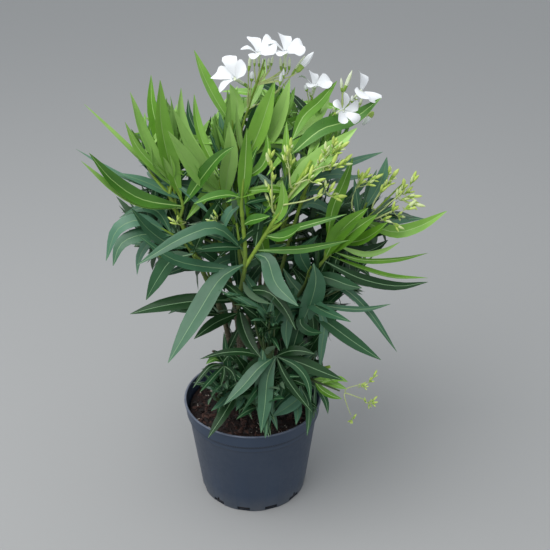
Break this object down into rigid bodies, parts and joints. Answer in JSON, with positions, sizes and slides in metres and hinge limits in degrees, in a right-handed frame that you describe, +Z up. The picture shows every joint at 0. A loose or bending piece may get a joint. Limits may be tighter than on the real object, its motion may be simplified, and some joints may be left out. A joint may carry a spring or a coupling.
{
  "type": "potted oleander",
  "caption": "Flowering evergreen shrub with long narrow leaves, white blossom and bud sprays, rooted in compost in a round plastic nursery pot.",
  "frame": {"origin": "middle of the pot's flat underside", "axes": "+Z up along the pot's axis; -Y towards the viewer and +X to the right, as in the picture"},
  "size_m": [0.5121, 0.388, 0.752],
  "materials": {
    "pot_plastic": "satin",
    "compost": "matte",
    "bark": "matte",
    "green_stem": "satin",
    "mature_leaf": "satin",
    "young_leaf": "satin",
    "petal": "matte",
    "bud": "satin"
  },
  "bodies": {
    "root": {"blossom_centre": "petal", "blossom_right": "petal", "bough_back": "bark", "bough_back_left": "bark", "bough_back_right": "bark", "bough_centre": "bark", "bough_front": "bark", "bough_front_right": "green_stem", "bough_left": "bark", "bough_low_back": "bark", "bough_low_front": "bark", "bough_low_left": "bark", "bough_low_right": "green_stem", "bough_right": "bark", "bough_top_right": "bark", "buds_right": "bud", "compost": "compost", "leaves_back_left": "mature_leaf", "leaves_back_right": "mature_leaf", "leaves_front": "young_leaf", "leaves_front_right": "young_leaf", "leaves_low_back_left": "mature_leaf", "leaves_low_back_right": "mature_leaf", "leaves_low_front": "mature_leaf", "leaves_low_front_left": "mature_leaf", "leaves_low_left": "mature_leaf", "leaves_low_right": "mature_leaf", "leaves_mid_back": "mature_leaf", "leaves_mid_back_left": "mature_leaf", "leaves_mid_back_right": "mature_leaf", "leaves_mid_front": "mature_leaf", "leaves_mid_front_left": "mature_leaf", "leaves_mid_left": "mature_leaf", "leaves_mid_right": "mature_leaf", "leaves_right": "young_leaf", "leaves_top_centre": "young_leaf", "leaves_top_left": "young_leaf", "leaves_top_right": "young_leaf", "pot": "pot_plastic", "stem": "bark"}
  },
  "joints": []
}
